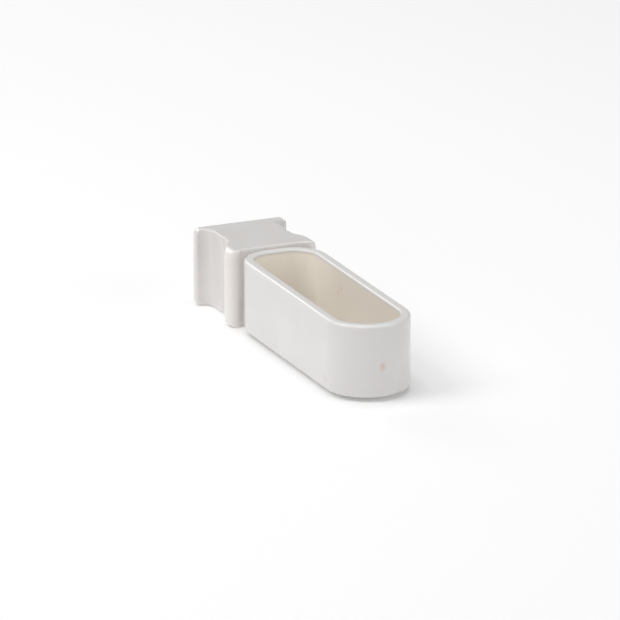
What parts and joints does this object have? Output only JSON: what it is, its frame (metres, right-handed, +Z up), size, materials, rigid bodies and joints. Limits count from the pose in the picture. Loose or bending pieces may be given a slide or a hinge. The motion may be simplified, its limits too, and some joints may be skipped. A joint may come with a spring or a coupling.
{
  "type": "clip-on finger feeder",
  "caption": "Finger feeder for a wire cage: a long open cup with a round nose plugs into a spool-shaped clip, whose grooved waist is gripped by neighbouring upright cage wires.",
  "frame": {"origin": "midway between the two wire seats, in the plane of the cage wires and at half the height of the clip", "axes": "+Z up along the cage wires, +X to the right along the cage, and the cup reaches out from the cage along -Y"},
  "size_m": [0.0196, 0.0713, 0.0158],
  "materials": {
    "clip_plastic": "moulded ivory-white plastic with a satin sheen",
    "cup_plastic": "moulded ivory-white plastic with a satin sheen, warmer inside the well"
  },
  "bodies": {
    "clip": {"clip": "clip_plastic"},
    "cup": {"cup": "cup_plastic"}
  },
  "joints": [
    {"name": "cup_pull", "type": "slide", "parent": "clip", "child": "cup", "axis": [0, -1, 0], "range_m": [0, 0.01]}
  ]
}
